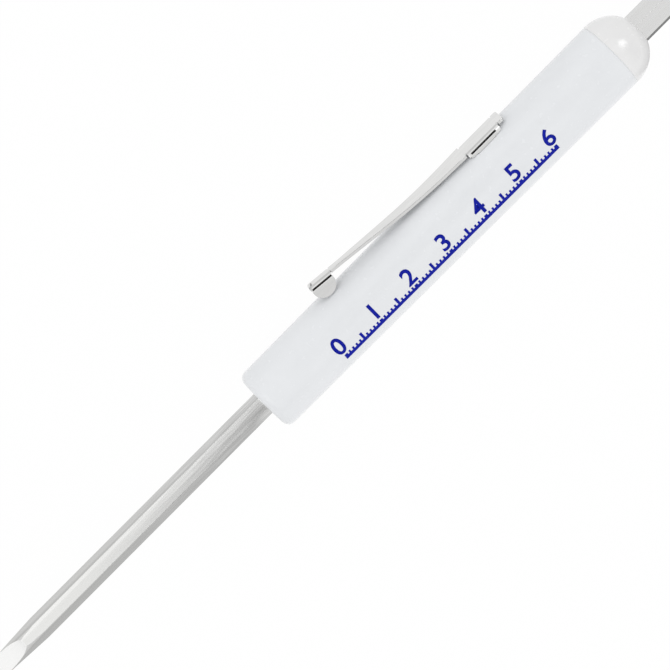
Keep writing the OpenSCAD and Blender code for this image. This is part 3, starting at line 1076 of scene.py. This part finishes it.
def relief(tree, shader, value, depth):
    """Bumps the surface by a depth in metres."""
    bump = tree.nodes.new("ShaderNodeBump")
    bump.inputs["Distance"].default_value = depth
    tree.links.new(value, bump.inputs["Height"])
    tree.links.new(bump.outputs[0], shader.inputs["Normal"])


def dress(piece, material):
    """Gives a piece this material alone."""
    piece.data.materials.clear()
    piece.data.materials.append(material)


print("finish helpers ready")

# %% [markdown]
# ### White plastic
# Barrel and cap are moulded from the same kind of white plastic in two tones: the barrel is
# a touch bluer. A faint mottling and a shallow ripple keep the large plain surface alive.

# %% Plastic of the barrel and the cap
MOTTLED = (90, 240, 240)
RIPPLED = (900, 900, 900)
RIPPLE_DEPTH = 0.0008 * MM

for node_name, dark, light in (
        ("barrel", (0.80, 0.815, 0.835), (0.825, 0.84, 0.86)),
        ("end_cap", (0.815, 0.813, 0.813), (0.838, 0.836, 0.836))):
    plastic, tree, shader, coordinates = new_finish(node_name + "_white", 0)
    shader.inputs["IOR"].default_value = 1.5
    shader.inputs["Sheen Weight"].default_value = 0.5
    shader.inputs["Sheen Roughness"].default_value = 0.3
    mottle = grain(tree, coordinates, MOTTLED)
    tinted(tree, mottle, dark, light, shader.inputs["Base Color"])
    ripple = grain(tree, coordinates, RIPPLED)
    between(tree, ripple, 0.2, 0.28, shader.inputs["Roughness"])
    relief(tree, shader, ripple, RIPPLE_DEPTH)
    dress(nodes[node_name], plastic)
print("plastic on barrel and cap")

# %% [markdown]
# ### Steel
# Steel bar is drawn through a die, which leaves fine lines along it. The coordinates are
# turned with the blade's broad face, so that their Z runs straight across that face.

# %% Steel with lines
DRAWN = (14, 1500, 1500)
LINE_DEPTH = 0.001 * MM


def steel_finish(name, coarse, dark, light, smooth, rough):
    """Bare steel with lines along the piece."""
    steel, tree, shader, coordinates = new_finish(name, 1)
    turned = tree.nodes.new("ShaderNodeMapping")
    turned.inputs["Rotation"].default_value = (-TIP_TURN, 0, 0)
    tree.links.new(coordinates, turned.inputs["Vector"])
    lines = grain(tree, turned.outputs[0], coarse, detail=2)
    tinted(tree, lines, dark, light, shader.inputs["Base Color"])
    between(tree, lines, smooth, rough, shader.inputs["Roughness"])
    return steel, tree, shader, turned.outputs[0], lines


bar_steel, tree, shader, turned_place, lines = steel_finish(
    "blade_steel", DRAWN, (0.62, 0.62, 0.615), (0.675, 0.675, 0.67), 0.2, 0.25)
relief(tree, shader, lines, LINE_DEPTH)
dress(blade, bar_steel)
print("drawn steel on the blade")

# %% [markdown]
# Along the blade's upper ridge a painted dark line and a painted bright streak lie side by side:
# painted reflection and highlight in the colour of the steel. Colour ramps set such bands across
# the bar. Each stop is a place, from 0 at one corner of the bar to 1 at the corner across from
# it, and a level that multiplies the colour. Towards the barrel, where the blade goes in and
# out, fine scratches of real wear and a broader band of painted highlight and painted shade
# across the facets take over from the calm lines.

# %% Painted ridge highlight and wear of the blade
SCRATCHED = (130, 2600, 2600)
SCRATCH_DARK = (0.68, 0.68, 0.68)
SCRATCH_LIGHT = (0.96, 0.96, 0.96)
WEAR_AND_GLINT_FROM = 30 * MM
WEAR_AND_GLINT_TO = 76 * MM
WARMTH = 0.99
# Painted dark line and painted highlight along the upper ridge.
PAINTED_RIDGE_STOPS = ((0.17, 0.9), (0.2, 0.78), (0.24, 0.78), (0.27, 1), (0.36, 1), (0.42, 0.9))
# Painted highlight and painted shade across the facets near the barrel.
PAINTED_GLINT_STOPS = ((0.17, 0.72), (0.2, 0.63), (0.24, 0.63), (0.28, 0.92), (0.43, 0.88), (0.55, 0.64),
                (0.7, 0.62), (0.74, 0.72))

place = tree.nodes.new("ShaderNodeSeparateXYZ")
tree.links.new(turned_place, place.inputs[0])
# Along X, where real scratches and painted highlight and shade bands take over from the calm lines.
wear_and_glint_zone = tree.nodes.new("ShaderNodeMapRange")
wear_and_glint_zone.inputs["From Min"].default_value = WEAR_AND_GLINT_FROM
wear_and_glint_zone.inputs["From Max"].default_value = WEAR_AND_GLINT_TO
tree.links.new(place.outputs["X"], wear_and_glint_zone.inputs["Value"])
worn_and_painted_mix = tree.nodes.new("ShaderNodeMix")
worn_and_painted_mix.data_type = "RGBA"
calm = shader.inputs["Base Color"].links[0].from_socket
tree.links.new(wear_and_glint_zone.outputs[0], worn_and_painted_mix.inputs["Factor"])
bar_share = tree.nodes.new("ShaderNodeMapRange")
bar_share.inputs["From Min"].default_value = -blade_r
bar_share.inputs["From Max"].default_value = blade_r
tree.links.new(place.outputs["Z"], bar_share.inputs["Value"])


def banded(stops, socket):
    """Paints highlight and shade into a socket as levels that change across the bar, and returns where
    a colour joins in.
    """
    bands = tree.nodes.new("ShaderNodeValToRGB")
    while len(bands.color_ramp.elements) < len(stops):
        bands.color_ramp.elements.new(1)
    for stop, (position, level) in zip(bands.color_ramp.elements, stops):
        stop.position = position
        stop.color = (level, level, level * WARMTH, 1)
    tree.links.new(bar_share.outputs[0], bands.inputs["Fac"])
    product = tree.nodes.new("ShaderNodeMix")
    product.data_type = "RGBA"
    product.blend_type = "MULTIPLY"
    product.inputs["Factor"].default_value = 1
    tree.links.new(bands.outputs["Color"], product.inputs["B"])
    tree.links.new(product.outputs["Result"], socket)
    return product.inputs["A"]


# The calm lines get the painted ridge highlight and dark line.
tree.links.new(calm, banded(PAINTED_RIDGE_STOPS, worn_and_painted_mix.inputs["A"]))
scratches = grain(tree, turned_place, SCRATCHED, detail=4)
# Near the barrel the real scratches get painted highlight and shade bands.
scratched_with_painted_light = banded(PAINTED_GLINT_STOPS, worn_and_painted_mix.inputs["B"])
tinted(tree, scratches, SCRATCH_DARK, SCRATCH_LIGHT, scratched_with_painted_light)
tree.links.new(worn_and_painted_mix.outputs["Result"], shader.inputs["Base Color"])
print("nodes in the blade's steel:", len(tree.nodes))

# %% [markdown]
# The tip is ground instead, with finer and brighter lines, so the faces that the wheel has
# left get a second material of their own. They are found by their place and by the way they
# face. Bit and spring are plain drawn steel.

# %% Ground tip, bit and spring
GROUND = (30, 30, 4200)
GROUND_FACING = 0.88

tip_steel = steel_finish("tip_steel", GROUND, (0.61, 0.61, 0.605), (0.65, 0.65, 0.645), 0.2, 0.25)[0]
blade.data.materials.append(tip_steel)
tip_face = Vector((0, math.cos(TIP_TURN), math.sin(TIP_TURN)))
ground = 0
for face in blade.data.polygons:
    below_flat = abs(face.center.dot(tip_face)) < BLADE_AF / 2 - NEAR
    hollow = face.center.x < GRIND_LEN + OVERRUN and below_flat
    if hollow and abs(face.normal.dot(tip_face)) > GROUND_FACING:
        face.material_index = 1
        ground += 1
print("ground faces:", ground)

dress(bit, steel_finish("bit_steel", DRAWN, (0.69, 0.69, 0.685), (0.715, 0.715, 0.71), 0.25, 0.28)[0])
dress(nodes["blade_spring"], steel_finish(
    "spring_steel", DRAWN, (0.48, 0.49, 0.5), (0.6, 0.61, 0.62), 0.25, 0.4)[0])

# %% [markdown]
# ### Plating and ink
# The clip is plated and bright, with only faint wear. The magnet is out of sight until the
# bit is pulled, but has its own finish too. The ink is a little uneven, as print is.

# %% Plating and ink
WORN = (160, 900, 900)
WEAR_DEPTH = 0.001 * MM
PATCHY = (700, 700, 700)

for piece, name, dark, light, smooth, rough in (
        (clip, "clip_plating", (0.72, 0.72, 0.715), (0.77, 0.77, 0.762), 0.05, 0.1),
        (nodes["bit_magnet"], "magnet_plating", (0.56, 0.55, 0.52), (0.66, 0.65, 0.62), 0.18, 0.3)):
    plating, tree, shader, coordinates = new_finish(name, 1)
    wear = grain(tree, coordinates, WORN)
    tinted(tree, wear, dark, light, shader.inputs["Base Color"])
    between(tree, wear, smooth, rough, shader.inputs["Roughness"])
    relief(tree, shader, wear, WEAR_DEPTH)
    dress(piece, plating)

ink, tree, shader, coordinates = new_finish("blue_ink", 0)
patches = grain(tree, coordinates, PATCHY)
tinted(tree, patches, (0.004, 0.010, 0.30), (0.008, 0.016, 0.37), shader.inputs["Base Color"])
between(tree, patches, 0.35, 0.5, shader.inputs["Roughness"])
shader.inputs["Specular IOR Level"].default_value = 0.05
dress(scale_print, ink)
print("materials:", ", ".join(m.name for m in bpy.data.materials))
